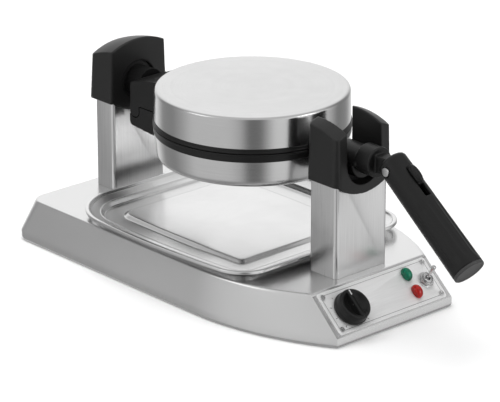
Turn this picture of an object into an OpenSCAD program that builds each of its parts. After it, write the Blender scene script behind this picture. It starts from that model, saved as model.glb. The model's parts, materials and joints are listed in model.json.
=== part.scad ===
// Rotary waffle maker. A round head of two hinged halves turns on a level shaft
// between two posts. The posts stand on a tapered base, with a drip tray between them.
// Every piece is drawn about the middle of the head, with +Y to the rear, and then
// moved along Y so that the origin is the middle of the footprint at floor level.

/* [Head] */
// Radius of the steel shells where they meet the bands
head_r = 103; // [102.6:0.1:103.2]
// Radius of the black bands at the seam
band_r = 104.4; // [104:0.1:105]
// Height of the seam and of the shaft axis
axis_z = 166; // [164:0.5:168]
// Height of the upper half above the seam
upper_depth = 38.4; // [38:0.1:40]
// Height of the lower half below the seam
lower_depth = 37.8; // [37.5:0.1:39]
// Width of the upper band
upper_band_h = 5.3; // [4:0.1:9]
// Width of the lower band
lower_band_h = 8.8; // [5:0.1:10]
// Pitch of the waffle pegs
peg_pitch = 22; // [21:0.5:22.5]
// Side of a waffle peg
peg_w = 13; // [10:0.5:14]

/* [Shaft and hinge] */
// Radius of the rear shaft and of the split front arm
shaft_r = 17; // [15:0.5:17]
// Running gap between the shaft and its bearings
run_gap = 0.06; // [0.02:0.01:0.1]
// Rearward position of the lid's hinge pin
pin_y = 156; // [154:0.5:157]
// Height of the lid's hinge pin
pin_z = 145; // [144:0.5:145.5]
// Half width of the hinge block
block_x = 30; // [28:0.5:32]

/* [Base] */
// Half width of the base at its foot
base_half_w = 130; // [128:1:136]
// Height of the upright lip round the foot
base_lip_z = 10.6; // [8:0.2:12]
// Height of the flat top
base_top_z = 46.4; // [44:0.2:48]
// Rear edge at the foot
base_rear_y = 240; // [236:1:246]
// Front edge at the foot
base_front_y = -214.85; // [-218:0.05:-212]
// Front edge of the flat top
top_front_y = -175.2; // [-176:0.1:-174]
// Wall of the base shell
base_wall = 2.5; // [2:0.1:3]

/* [Posts and caps] */
// Width of both posts
post_w = 72; // [70:1:74]
// Depth of the front post
front_post_d = 39.5; // [38:0.5:41]
// Depth of the rear post
rear_post_d = 30.1; // [29:0.1:31]
// Middle of the front post
front_post_y = -144.75; // [-146:0.05:-144]
// Middle of the rear post
rear_post_y = 199.25; // [199:0.05:201]
// Height of the top of the caps
cap_peak_z = 213; // [210:0.5:216]
// Half width of the open cradle in the front cap
cradle_r = 23.5; // [22:0.5:24]

/* [Tray] */
// Half width of the drip tray at its widest
tray_half_w = 129; // [120:1:129]
// Half length of the drip tray
tray_half_l = 141.2; // [135:0.2:141.2]
// Middle of the drip tray
tray_y = 24.8; // [24:0.2:26]
// Radius of the drip tray's front corners
tray_front_r = 34; // [30:1:42]
// Radius of the drip tray's rear corners
tray_rear_r = 62; // [50:1:66]
// How much the long sides bow, as a share of the width
tray_bow = 0.038; // [0:0.002:0.05]

/* [Handle] */
// Length of the handle
handle_l = 142; // [120:1:150]
// Radius at the pivot end
handle_r_top = 15.75; // [15:0.25:16.5]
// Radius at the free end
handle_r_end = 17.25; // [16.5:0.25:18]
// How far the handle hangs below level
handle_drop = 37.7; // [30:0.1:45]
// Position of the handle's pivot along Y
pivot_y = -212.5; // [-214:0.5:-212]
// Height of the handle's pivot
pivot_z = 171; // [168:0.5:172]

/* [Controls] */
// Radius of the browning knob
knob_r = 19; // [16:0.5:19]
// Sideways position of the browning knob
knob_x = -48; // [-49:1:-40]
// Distance of the knob down the panel
knob_s = 29; // [27:0.5:30]
// Radius of the indicator lenses
lens_r = 6.8; // [6:0.2:8]
// Sideways position of the indicator lamps
lamp_x = 42.3; // [38:0.1:44]
// Distances of the two lamps down the panel
lamp_s = [14.7, 35.7]; // [10:0.1:40]
// Sideways position of the power switch
switch_x = 62; // [60:0.5:64]
// Distance of the power switch down the panel
switch_s = 27; // [22:0.5:28]

/* [Hidden] */
$fn = 72;
eps = 0.01;
fit = 0.1;
handle_end_y = pivot_y - (handle_l - 11) * cos(handle_drop) - handle_r_end * sin(handle_drop);
origin_y = -(handle_end_y + base_rear_y) / 2;
slope_angle = atan2(base_top_z - base_lip_z, top_front_y - base_front_y);

// Head, as distances from the seam
sheet = 1.2;
seam_gap = 0.1;
grid_r = 96.8;
pan_r = 88;
pan_floor = 12;
grid_back = 16;
ledge_back = 19;
peg_tip = 3;
reflector_r = 94.5;
reflector_back = 28;
grid_screw_r = 80;
element_r = 60;

// Caps and posts
post_top_z = 150;
notch_r = 30;
boss_r = 29.5;
bridge_z = 128;
cap_over = 1.6;
post_corner_r = 4;
front_cap_low_y = front_post_y - front_post_d / 2 - cap_over;
front_cap_high_y = front_post_y + front_post_d / 2 + 1.3;
rear_cap_low_y = rear_post_y - rear_post_d / 2 - 1.4;
rear_cap_high_y = rear_post_y + rear_post_d / 2 + 2.2;
bush_r = 21.25;
shaft_end_y = 206;

// Front arm, flange and handle lug
arm_end_y = -167.4;
flange_back_y = -168.8;
flange_front_y = -189;
flange_r = 16;
lug_r = 9;
lug_half_w = 7;
handle_turn = 90 + handle_drop;
pivot_in = 11;
slot_near = 9;
slot_far = 45;
slider_travel = 6;

// Hinge between the halves of the head
knuckle_r = 43.1;
pin_x = 27;
knuckle_x = 18;
knuckle_gap = 0.4;
ear_r = 8;
block_rear_y = 163;
hinge_screw_len = 17.2;
spigot_r = 9.5;
hinge_top_z = 177;
lower_screw_z = axis_z - 27;
upper_screw_z = axis_z + 12;

// Base and panel
base_gap = 0.6;
plate_low_z = 1.5;
plate_high_z = 3;
foot_spots = [[-92, 205], [92, 205], [-66, -170], [66, -170]];
boss_spots = [[-105, 215], [105, 215], [-110, 20], [110, 20], [-76, -140], [76, -140]];
panel_w = 152.3;
panel_s_low = 2.4;
panel_s_high = 51;
panel_h = 1.1;
panel_spots = [[-70.5, 7.5], [70.5, 7.5], [-70.5, 46], [70.5, 46]];

// ---------------------------------------------------------------- shared shapes

// Moves a piece from the head's own place to the row's origin
module placed() {
    translate([0, origin_y, 0])
        children();
}

// Rectangle with round corners, centred
module rounded_rect(w, l, r) {
    square([w - 2 * r, l], center = true);
    square([w, l - 2 * r], center = true);
    for (x = [-1, 1], y = [-1, 1])
        translate([x * (w / 2 - r), y * (l / 2 - r)])
            circle(r = r);
}

// Box between two opposite corners
module box(low, high) {
    translate(low)
        cube(high - low);
}

// Round rod along Y on the shaft's axis
module y_rod(r, y_low, y_high) {
    translate([0, y_high, axis_z])
        rotate([90, 0, 0])
            cylinder(r = r, h = y_high - y_low);
}

// Round rod along X
module x_rod(r, x_low, x_high, y, z) {
    translate([x_low, y, z])
        rotate([0, 90, 0])
            cylinder(r = r, h = x_high - x_low);
}

// Round rod along Z
module z_rod(r, z_low, z_high) {
    translate([0, 0, z_low])
        cylinder(r = r, h = z_high - z_low);
}

// Panel's own frame: s runs down the slope and h stands out of it
module on_slope(x, s, h = 0) {
    translate([x, top_front_y, base_top_z])
        rotate([slope_angle, 0, 0])
            translate([0, -s, h])
                children();
}

// Handle's own frame: Z runs from the pivot to the free end, and Y is the thumb's side
module on_handle() {
    translate([0, pivot_y, pivot_z])
        rotate([handle_turn, 0, 0])
            children();
}

// The upper half of the head, with Z measured up from the seam
module upper_half() {
    translate([0, 0, axis_z])
        children();
}

// The lower half of the head, with Z measured down from the seam
module lower_half() {
    translate([0, 0, axis_z])
        mirror([0, 0, 1])
            children();
}

// Points on an arc about c, from angle a0 to a1
function arc(c, r, a0, a1, steps) =
    [for (i = [0:steps]) let (a = a0 + (a1 - a0) * i / steps) c + r * [cos(a), sin(a)]];

// ---------------------------------------------------------------- base

// Half width of the base at y: straight at the rear, curving in towards the front
function side_x(y, w, y_turn, x_front, y_front) =
    let (dy = y_turn - y_front, dx = w - x_front, r = (dy * dy + dx * dx) / (2 * dx))
    y > y_turn ? w : w - r + sqrt(r * r - pow(y_turn - y, 2));

// Closed outline of the base, drawn as its right side and the mirror image
function base_outline(w, y_rear, y_turn, x_front, y_front, corner_r = 13, steps = 14) =
    let (
        right = concat(
            arc([w - corner_r, y_rear - corner_r], corner_r, 90, 0, 6),
            [for (i = [0:steps])
                let (y = y_turn + (y_front - y_turn) * i / steps)
                [side_x(y, w, y_turn, x_front, y_front), y]]
        ),
        last = len(right) - 1
    )
    concat(right, [for (i = [last:-1:0]) [-right[i][0], right[i][1]]]);

// Body of the base with its outlines moved in by inset, from z_low to z_high:
// upright round the lip and sloping above it
module base_body(inset, z_low, z_high) {
    rim = 0.6;
    hull() {
        translate([0, 0, z_low])
            linear_extrude(base_lip_z - z_low)
                polygon(base_outline(base_half_w - inset, base_rear_y - inset, -50,
                                     81.6 - inset, base_front_y + inset));
        translate([0, 0, z_high - rim])
            linear_extrude(rim)
                polygon(base_outline(base_half_w - 10.5 - inset, base_rear_y - 11.5 - inset, -45,
                                     80.5 - inset, top_front_y + inset * 0.4));
    }
}

module base_shell() {
    color("#a9a9a6")
    difference() {
        union() {
            difference() {
                base_body(0, base_gap, base_top_z);
                base_body(base_wall, -1, base_top_z - base_wall);
            }
            for (p = boss_spots)
                translate(p)
                    z_rod(5, plate_high_z + fit, base_top_z - base_wall + 0.5);
        }
        for (p = boss_spots)
            translate(p)
                z_rod(1.6, 0, 16);
        for (y = [front_post_y, rear_post_y], x = [-20, 20])
            translate([x, y])
                z_rod(3.2, base_top_z - 6, base_top_z + 1);
        for (p = panel_spots)
            on_slope(p[0], p[1])
                z_rod(1.6, -8, 2);
        on_slope(knob_x, knob_s)
            z_rod(4.5, -8, 2);
        for (s = lamp_s)
            on_slope(lamp_x, s)
                z_rod(5.6, -8, 2);
        on_slope(switch_x, switch_s)
            z_rod(6.1, -8, 2);
        translate([60, base_rear_y - 20, 24])
            rotate([-90, 0, 0])
                cylinder(r = 6.1, h = 30);
    }
}

module base_plate() {
    color("#8d8f91")
    difference() {
        translate([0, 0, plate_low_z])
            linear_extrude(plate_high_z - plate_low_z)
                polygon(base_outline(base_half_w - 5, base_rear_y - 5, -50, 76.6, base_front_y + 6));
        for (p = boss_spots)
            translate(p)
                z_rod(1.8, 0, 5);
        for (p = foot_spots)
            translate(p)
                z_rod(3.1, 0, 5);
    }
}

module rubber_feet() {
    color("#1c1c1c")
    for (p = foot_spots)
        translate(p) {
            z_rod(10, 0, plate_low_z);
            z_rod(3, 0, 4.6);
        }
}

module base_screws() {
    color("#b8b8b8")
    for (p = boss_spots)
        translate(p) {
            z_rod(3.4, 0.5, plate_low_z);
            z_rod(1.5, 0.5, 14);
        }
}

// Bushing that the mains lead would pass through
module cord_gland() {
    color("#222222")
    translate([60, 0, 24])
        rotate([-90, 0, 0])
            difference() {
                union() {
                    translate([0, 0, base_rear_y - 18])
                        cylinder(r = 6, h = 17);
                    translate([0, 0, base_rear_y - 1.5])
                        cylinder(r = 8, h = 1);
                }
                translate([0, 0, base_rear_y - 20])
                    cylinder(r = 3.6, h = 24);
            }
}

module terminal_block() {
    color("#d8d2c0")
    difference() {
        box([34, 196, plate_high_z + fit], [62, 210, 18]);
        for (x = [39, 48, 57])
            translate([x, 203])
                z_rod(2, 10, 20);
    }
}

// ---------------------------------------------------------------- controls

module panel_plate() {
    color("#e6e6e2")
    on_slope(0, (panel_s_low + panel_s_high) / 2, fit)
        linear_extrude(panel_h - fit)
            difference() {
                rounded_rect(panel_w, panel_s_high - panel_s_low, 3);
                translate([0, (panel_s_low + panel_s_high) / 2]) {
                    for (p = panel_spots)
                        translate([p[0], -p[1]])
                            circle(r = 1.7);
                    translate([knob_x, -knob_s])
                        circle(r = 4.5);
                    for (s = lamp_s)
                        translate([lamp_x, -s])
                            circle(r = 5.6);
                    translate([switch_x, -switch_s])
                        circle(r = 6.1);
                }
            }
}

module panel_screws() {
    color("#cfcfcf")
    for (p = panel_spots)
        on_slope(p[0], p[1]) {
            difference() {
                z_rod(2.7, panel_h, panel_h + 1.2);
                box([-0.4, -1.9, panel_h + 0.6], [0.4, 1.9, panel_h + 2]);
                box([-1.9, -0.4, panel_h + 0.6], [1.9, 0.4, panel_h + 2]);
            }
            z_rod(1.5, -6, panel_h + 0.5);
        }
}

// Thermostat behind the panel, with the bearing of the knob's spindle
module thermostat() {
    color("#c9c4b4")
    on_slope(knob_x, knob_s)
        difference() {
            union() {
                box([-14, -12, -16], [14, 12, -3.2]);
                z_rod(4.3, -4, 0);
            }
            z_rod(3 + run_gap, -12, 1);
        }
}

module lamp_holders() {
    color("#e8e8e8")
    for (s = lamp_s)
        on_slope(lamp_x, s) {
            z_rod(5.4, -14, panel_h + 0.6);
        }
}

// Domed lens over a lamp holder
module lens(s) {
    dome_r = 9;
    rim_h = panel_h + 1.4;
    on_slope(lamp_x, s)
        difference() {
            union() {
                z_rod(lens_r, panel_h, rim_h);
                intersection() {
                    translate([0, 0, rim_h - sqrt(dome_r * dome_r - lens_r * lens_r)])
                        sphere(r = dome_r);
                    z_rod(lens_r, rim_h - eps, rim_h + 8);
                }
            }
            z_rod(5.45, panel_h - 1, panel_h + 0.65);
        }
}

module green_lens() {
    color("#0f8a5a")
    lens(lamp_s[0]);
}

module red_lens() {
    color("#d8231f")
    lens(lamp_s[1]);
}

module switch_body() {
    color("#303234")
    on_slope(switch_x, switch_s)
        difference() {
            union() {
                box([-6.5, -10, -18], [6.5, 10, -3.2]);
                z_rod(5.9, -4, 6);
            }
            z_rod(3.7, -5, 8);
        }
}

module switch_washer() {
    color("#c8c8c8")
    on_slope(switch_x, switch_s)
        difference() {
            z_rod(9, panel_h, panel_h + 0.9);
            z_rod(6, panel_h - 1, panel_h + 2);
        }
}

module switch_nut() {
    color("#d5d5d5")
    on_slope(switch_x, switch_s)
        difference() {
            translate([0, 0, panel_h + 0.9])
                cylinder(d = 16.5, h = 2.6, $fn = 6);
            z_rod(5.95, panel_h, panel_h + 5);
        }
}

// Bat lever, tipped up the slope to the on side
module switch_lever() {
    color("#e2e2e2")
    on_slope(switch_x, switch_s, 2)
        rotate([-10, 0, 0]) {
            sphere(r = 3);
            x_rod(1, -3.5, 3.5, 0, 0);
            cylinder(r1 = 1.5, r2 = 2.4, h = 19);
            translate([0, 0, 19])
                sphere(r = 2.4);
        }
}

module browning_knob() {
    grip_l = 2 * knob_r - 3;
    color("#171717")
    on_slope(knob_x, knob_s)
        difference() {
            union() {
                z_rod(knob_r, 2.2, 6);
                translate([0, 0, 6])
                    cylinder(r1 = knob_r - 1, r2 = knob_r - 2, h = 5);
                intersection() {
                    box([-3.5, -grip_l / 2, 8], [3.5, grip_l / 2, 16.5]);
                    z_rod(knob_r - 2, 8, 16.5);
                }
            }
            z_rod(3.05, 1, 14);
        }
}

module knob_spindle() {
    color("#b9b9b9")
    on_slope(knob_x, knob_s)
        z_rod(3, -10, 13.5);
}

// ---------------------------------------------------------------- posts and caps

// Square tube, notched at the top round the shaft
module post(y, depth) {
    difference() {
        translate([0, y, base_top_z])
            linear_extrude(post_top_z - base_top_z)
                difference() {
                    rounded_rect(post_w, depth, post_corner_r);
                    rounded_rect(post_w - 2 * sheet, depth - 2 * sheet, post_corner_r - sheet);
                }
        y_rod(notch_r, y - depth, y + depth);
    }
}

module front_post() {
    color("#c6c6c4")
    post(front_post_y, front_post_d);
}

module rear_post() {
    color("#c6c6c4")
    post(rear_post_y, rear_post_d);
}

// Frame inside a post that carries the cap
module bracket(y, depth) {
    half_w = post_w / 2 - 2.3;
    half_d = depth / 2 - 2.3;
    difference() {
        union() {
            box([-half_w, y - half_d, base_top_z], [half_w, y + half_d, base_top_z + 3]);
            for (x = [-1, 1])
                box([x * (half_w - 1.5) - 1.5, y - half_d, base_top_z],
                    [x * (half_w - 1.5) + 1.5, y + half_d, bridge_z + 3]);
            box([-half_w, y - half_d, bridge_z], [half_w, y + half_d, bridge_z + 3]);
        }
        for (x = [-20, 20])
            translate([x, y])
                z_rod(3.1, base_top_z - 1, base_top_z + 5);
        translate([0, y])
            z_rod(2.2, bridge_z - 1, bridge_z + 5);
    }
}

module front_bracket() {
    color("#8f9294")
    bracket(front_post_y, front_post_d);
}

module rear_bracket() {
    color("#8f9294")
    bracket(rear_post_y, rear_post_d);
}

module post_bolts() {
    color("#b0b0b0")
    for (y = [front_post_y, rear_post_y], x = [-20, 20])
        translate([x, y]) {
            z_rod(5, base_top_z - base_wall - 3.5, base_top_z - base_wall);
            z_rod(2.9, base_top_z - base_wall - 1, base_top_z + 10);
        }
}

module post_nuts() {
    color("#b0b0b0")
    for (y = [front_post_y, rear_post_y], x = [-20, 20])
        translate([x, y, base_top_z + 3])
            difference() {
                cylinder(r = 5.8, h = 4.5, $fn = 6);
                z_rod(2.95, -1, 6);
            }
}

// Block with an arched crown that also rolls off from front to rear.
// The bottom edge hangs as an arc below the shaft on both faces.
module crown(y_low, y_high, corner_r, roll_y, roll_z, roll_r) {
    arch_r = 83;
    hang_r = 60;
    w = post_w + 2 * cap_over + 0.4;
    intersection() {
        translate([0, (y_low + y_high) / 2, 130])
            linear_extrude(cap_peak_z - 128)
                rounded_rect(w, y_high - y_low, corner_r);
        translate([0, roll_y, roll_z])
            rotate([0, 90, 0])
                rotate_extrude()
                    intersection() {
                        translate([0, -w / 2 - 1])
                            square([roll_r + 1, w + 2]);
                        translate([roll_r - arch_r, 0])
                            circle(r = arch_r, $fn = 180);
                    }
        translate([0, y_high + 1, axis_z + 27])
            rotate([90, 0, 0])
                cylinder(r = hang_r, h = y_high - y_low + 2);
    }
}

// Hollow under a cap that fits over the post, less the boss round the shaft
module post_pocket(y, depth) {
    difference() {
        box([-post_w / 2 - fit, y - depth / 2 - fit, 120],
            [post_w / 2 + fit, y + depth / 2 + fit, post_top_z + fit]);
        y_rod(boss_r, y - depth, y + depth);
        box([-12, y - 10, bridge_z + 3], [12, y + 10, 140]);
    }
}

// Hole for the screw that holds a cap to its bracket
module cap_screw_hole(y) {
    translate([0, y])
        z_rod(2, bridge_z, bridge_z + 9);
}

module front_cap() {
    color("#2a2a2a")
    difference() {
        crown(front_cap_low_y, front_cap_high_y, 5, -127.7, cap_peak_z - 95, 95);
        post_pocket(front_post_y, front_post_d);
        y_rod(cradle_r, front_cap_low_y - 1, front_cap_high_y + 1);
        box([-cradle_r, front_cap_low_y - 1, axis_z],
            [cradle_r, front_cap_high_y + 1, cap_peak_z + 2]);
        cap_screw_hole(front_post_y);
    }
}

module rear_cap() {
    color("#2a2a2a")
    difference() {
        crown(rear_cap_low_y, rear_cap_high_y, 3, 171, cap_peak_z - 119.1, 120);
        post_pocket(rear_post_y, rear_post_d);
        y_rod(bush_r + 0.05, rear_cap_low_y - 1, shaft_end_y + 2);
        cap_screw_hole(rear_post_y);
    }
}

module cap_screws() {
    color("#b0b0b0")
    for (y = [front_post_y, rear_post_y])
        translate([0, y]) {
            z_rod(4, bridge_z - 3, bridge_z);
            z_rod(1.9, bridge_z - 1, bridge_z + 8);
        }
}

// Lower half of a plain bearing that the split front arm turns in
module front_saddle() {
    color("#4a4a4a")
    difference() {
        y_rod(cradle_r - 0.05, front_post_y - 8, front_post_y + 8);
        y_rod(shaft_r + run_gap, front_post_y - 9, front_post_y + 9);
        box([-30, front_post_y - 9, axis_z - 2], [30, front_post_y + 9, axis_z + 30]);
    }
}

module rear_bush() {
    color("#4a4a4a")
    difference() {
        y_rod(bush_r, rear_cap_low_y + 3, shaft_end_y);
        y_rod(shaft_r + run_gap, rear_cap_low_y, shaft_end_y + 1);
    }
}

// ---------------------------------------------------------------- tray

// Outline of the tray moved in by inset: gently bowed sides, wide corners at the rear
function tray_outline(inset) =
    let (
        hw = tray_half_w - inset,
        y_low = tray_y - tray_half_l + inset,
        y_high = tray_y + tray_half_l - inset,
        front_r = max(tray_front_r - inset, 6),
        rear_r = max(tray_rear_r - inset, 6),
        side = [for (t = [0.1:0.2:0.9]) [hw, y_low + front_r + t * (y_high - rear_r - y_low - front_r)]],
        right = concat(arc([hw - front_r, y_low + front_r], front_r, -90, 0, 7), side,
                       arc([hw - rear_r, y_high - rear_r], rear_r, 0, 90, 10)),
        bowed = [for (p = right) [p[0] * (1 - tray_bow * pow((p[1] - 40) / 100, 2)), p[1]]]
    )
    concat(bowed, [for (i = [len(bowed) - 1:-1:0]) [-bowed[i][0], bowed[i][1]]]);

// Solid between two tray outlines at two heights
module tray_step(inset_low, z_low, inset_high, z_high) {
    hull() {
        translate([0, 0, z_low])
            linear_extrude(eps)
                polygon(tray_outline(inset_low));
        translate([0, 0, z_high - eps])
            linear_extrude(eps)
                polygon(tray_outline(inset_high));
    }
}

module drip_tray() {
    floor_z = base_top_z + 0.1;
    skin = 0.9;
    color("#d2d2cf")
    difference() {
        union() {
            translate([0, 0, floor_z + 7.6])
                linear_extrude(4.1)
                    polygon(tray_outline(0));
            tray_step(22, floor_z, 18, floor_z + 6);
            tray_step(18, floor_z + 6 - eps, 5.5, floor_z + 10.8);
        }
        translate([0, 0, floor_z + 7])
            linear_extrude(4.1 + 0.6 - skin)
                difference() {
                    polygon(tray_outline(skin));
                    polygon(tray_outline(5.5));
                }
        difference() {
            union() {
                tray_step(22 + skin, floor_z + skin, 18 + skin, floor_z + 6 + skin);
                tray_step(18 + skin, floor_z + 6 + skin - eps, 5.5 + skin, floor_z + 10.9 + skin);
            }
            tray_step(44, floor_z, 48, floor_z + 3.8);
        }
        tray_step(44 + skin, floor_z - 1, 48, floor_z + 3.8 - skin);
    }
}

// ---------------------------------------------------------------- head halves

// Sheet metal cup of one half, from the band to the flat face
module half_shell(depth, band_h, r_far, edge_r) {
    edge = [r_far - edge_r, depth - edge_r];
    outer = concat([[head_r, band_h + 0.05]], arc(edge, edge_r, 0, 90, 8), [[0, depth]]);
    inner = concat([[0, depth - sheet]], arc(edge, edge_r - sheet, 90, 0, 8),
                   [[head_r - sheet, band_h + 0.05]]);
    rotate_extrude()
        polygon(concat(outer, inner));
}

// Heat proof ring that carries the grid inside the shell
module half_band(band_h) {
    rotate_extrude()
        polygon([
            [grid_r + 0.2, seam_gap], [band_r, seam_gap], [band_r, 1.5], [head_r + 0.2, band_h],
            [head_r - 2.4, band_h], [head_r - 2.4, ledge_back], [93, ledge_back],
            [93, grid_back + 0.05], [grid_r + 0.2, grid_back + 0.05]
        ]);
}

// Cast plate with square pegs in four quarters
module half_grid() {
    spots = [for (i = [-4:3]) (i + 0.5) * peg_pitch];
    difference() {
        union() {
            difference() {
                z_rod(grid_r, 0.4, grid_back);
                z_rod(pan_r, -1, pan_floor);
            }
            for (x = spots, y = spots)
                if (norm([x, y]) < 79)
                    translate([x - peg_w / 2, y - peg_w / 2, peg_tip])
                        cube([peg_w, peg_w, pan_floor - peg_tip + 1]);
            box([-1.5, -pan_r, 6], [1.5, pan_r, pan_floor + 1]);
            box([-pan_r, -1.5, 6], [pan_r, 1.5, pan_floor + 1]);
        }
        grid_screw_spots()
            z_rod(2, 13, grid_back + 1);
    }
}

// Repeats its children at the four screws behind a grid
module grid_screw_spots() {
    for (a = [45:90:315])
        rotate(a)
            translate([grid_screw_r, 0])
                children();
}

// Tubular heater, an open ring with two terminals
module half_element() {
    rotate(110)
        rotate_extrude(angle = 320)
            translate([element_r, grid_back + 4.1])
                circle(r = 4);
    for (a = [110, 70])
        rotate(a)
            translate([element_r, 0])
                z_rod(3, grid_back + 4.1, reflector_back + 3);
}

// Shallow heat shield with a sleeve at each screw
module half_reflector() {
    difference() {
        union() {
            difference() {
                z_rod(reflector_r, ledge_back + 0.05, reflector_back);
                z_rod(reflector_r - 0.8, ledge_back - 1, reflector_back - 0.8);
            }
            grid_screw_spots()
                z_rod(4, grid_back + 0.05, reflector_back - 0.5);
        }
        grid_screw_spots()
            z_rod(2.2, grid_back - 1, reflector_back + 1);
        for (a = [110, 70])
            rotate(a)
                translate([element_r, 0])
                    z_rod(3.4, reflector_back - 2, reflector_back + 1);
    }
}

module half_grid_screws() {
    grid_screw_spots() {
        z_rod(3.5, reflector_back, reflector_back + 2);
        z_rod(1.9, 13.2, reflector_back + 1);
    }
}

// Keeps a block outside the band and the shell that it is fixed to.
// clear widens the cut round the half that the block only passes.
module head_clearance(clear) {
    upper_half()
        z_rod(band_r + 0.05 + clear[0], -eps, upper_band_h + 0.05);
    upper_half()
        z_rod(head_r + 0.05 + clear[0], upper_band_h, 60);
    lower_half()
        z_rod(band_r + 0.05 + clear[1], -eps, lower_band_h + 0.05);
    lower_half()
        z_rod(head_r + 0.05 + clear[1], lower_band_h, 60);
}

// Holes for the screws between a shell and its hinge block
module hinge_screw_holes(z) {
    for (x = [-15, 15])
        translate([x, 90, z])
            rotate([-90, 0, 0])
                cylinder(r = 2, h = 24.5);
}

module hinge_screws(y, z) {
    for (x = [-15, 15])
        translate([x, y, z])
            rotate([-90, 0, 0]) {
                cylinder(r = 3.3, h = 2.7);
                cylinder(r = 1.9, h = hinge_screw_len);
            }
}

module lower_shell() {
    color("#b9b9b6")
    difference() {
        lower_half()
            half_shell(lower_depth, lower_band_h, head_r - 2.2, 9);
        hinge_screw_holes(lower_screw_z);
    }
}

module upper_shell() {
    color("#cfcfcb")
    difference() {
        upper_half()
            half_shell(upper_depth, upper_band_h, head_r - 0.7, 4);
        hinge_screw_holes(upper_screw_z);
    }
}

module lower_band() {
    color("#1b1b1b")
    lower_half()
        half_band(lower_band_h);
}

module upper_band() {
    color("#1b1b1b")
    difference() {
        upper_half()
            half_band(upper_band_h);
        for (x = [-15, 15])
            translate([x, 90, upper_screw_z])
                rotate([-90, 0, 0])
                    cylinder(r = 3.9, h = 24.5);
    }
}

module lower_grid() {
    color("#3b3b3b")
    lower_half()
        half_grid();
}

module upper_grid() {
    color("#3b3b3b")
    upper_half()
        half_grid();
}

module lower_element() {
    color("#6d6f71")
    lower_half()
        half_element();
}

module upper_element() {
    color("#6d6f71")
    upper_half()
        half_element();
}

module lower_reflector() {
    color("#bfc1c2")
    lower_half()
        half_reflector();
}

module upper_reflector() {
    color("#bfc1c2")
    upper_half()
        half_reflector();
}

module lower_grid_screws() {
    color("#9c9c9c")
    lower_half()
        half_grid_screws();
}

module upper_grid_screws() {
    color("#9c9c9c")
    upper_half()
        half_grid_screws();
}

module lower_hinge_screws() {
    color("#9c9c9c")
    hinge_screws(95.2, lower_screw_z);
}

module upper_hinge_screws() {
    color("#9c9c9c")
    hinge_screws(96.7, upper_screw_z);
}

// ---------------------------------------------------------------- arm and hinge

// Lower half of the round front arm
module lower_arm() {
    color("#202020")
    difference() {
        y_rod(shaft_r, arm_end_y, -60);
        box([-30, arm_end_y - 1, axis_z - seam_gap], [30, 0, axis_z + 30]);
        head_clearance([0, 0]);
    }
}

// Upper half of the front arm, with the end flange and the lug that the handle turns on
module upper_arm() {
    color("#202020")
    difference() {
        union() {
            difference() {
                y_rod(shaft_r, flange_back_y - 1, -60);
                box([-30, flange_back_y - 2, axis_z - 30], [30, 0, axis_z + seam_gap]);
            }
            translate([0, flange_back_y, pivot_z])
                rotate([90, 0, 0])
                    cylinder(r = flange_r, h = flange_back_y - flange_front_y);
            box([-lug_half_w, pivot_y, pivot_z - lug_r], [lug_half_w, flange_front_y + 1, pivot_z + lug_r]);
            x_rod(lug_r, -lug_half_w, lug_half_w, pivot_y, pivot_z);
        }
        x_rod(2.5 + run_gap, -20, 20, pivot_y, pivot_z);
        head_clearance([0, 0.5]);
    }
}

// Lower hinge block with the neck that grips the rear shaft
module lower_hinge_block() {
    side = concat(
        [[96, 150], [96, 126], [106, 124.4], [126, 123.7], [158, 126.4]],
        arc([158.7, 131.4], 5, -90, 0, 4),
        [[163.7, 140]],
        arc([pin_y, pin_z], ear_r + 0.6, -30, -206, 10),
        [[147.2, 150]]
    );
    color("#1d1d1d")
    difference() {
        union() {
            translate([-block_x, 0, 0])
                rotate([90, 0, 90])
                    linear_extrude(2 * block_x)
                        polygon(side);
            box([-knuckle_x, 142, 130], [knuckle_x, block_rear_y, 150]);
            intersection() {
                translate([-knuckle_x, 0, 0])
                    rotate([90, 0, 90])
                        linear_extrude(2 * knuckle_x)
                            polygon([[105, 145], [block_rear_y, 145], [block_rear_y, hinge_top_z - 2.5],
                                     [160.5, hinge_top_z], [140, hinge_top_z + 4.6],
                                     [124, hinge_top_z + 7], [105, hinge_top_z + 7]]);
                x_rod(knuckle_r, -knuckle_x - 2, knuckle_x + 2, pin_y, pin_z);
            }
        }
        y_rod(spigot_r + 0.05, 150, block_rear_y + 7);
        x_rod(2.55, -40, 40, pin_y, pin_z);
        hinge_screw_holes(lower_screw_z);
        head_clearance([0.5, 0]);
    }
}

// Upper hinge block: a bridge behind the lid and two cheeks round the pin
module upper_hinge_block() {
    side = concat(
        [[96, 150.4], [147.5, 150.4]],
        arc([pin_y, pin_z], ear_r, 150, 330, 10),
        [[block_rear_y, 147]],
        arc([block_rear_y - 5, hinge_top_z - 5.3], 5, 0, 78, 5),
        [[140, hinge_top_z + 4.6], [124, hinge_top_z + 7], [96, hinge_top_z + 7]]
    );
    color("#1d1d1d")
    difference() {
        translate([-block_x, 0, 0])
            rotate([90, 0, 90])
                linear_extrude(2 * block_x)
                    polygon(side);
        x_rod(knuckle_r + knuckle_gap, -knuckle_x - knuckle_gap, knuckle_x + knuckle_gap,
              pin_y, pin_z);
        x_rod(2.5 + run_gap, -pin_x - 0.1, pin_x + 0.1, pin_y, pin_z);
        hinge_screw_holes(upper_screw_z);
        head_clearance([0, 0.6]);
    }
}

// Hollow shaft from the hinge block to the rear bearing
module rear_shaft() {
    color("#3a3a3a")
    difference() {
        union() {
            y_rod(spigot_r, 150.1, block_rear_y + 0.2);
            y_rod(shaft_r, block_rear_y + 0.1, shaft_end_y);
        }
        y_rod(6, 149, shaft_end_y + 1);
    }
}

module hinge_pin() {
    color("#c0c0c0")
    x_rod(2.5, -pin_x, pin_x, pin_y, pin_z);
}

// ---------------------------------------------------------------- handle

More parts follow.
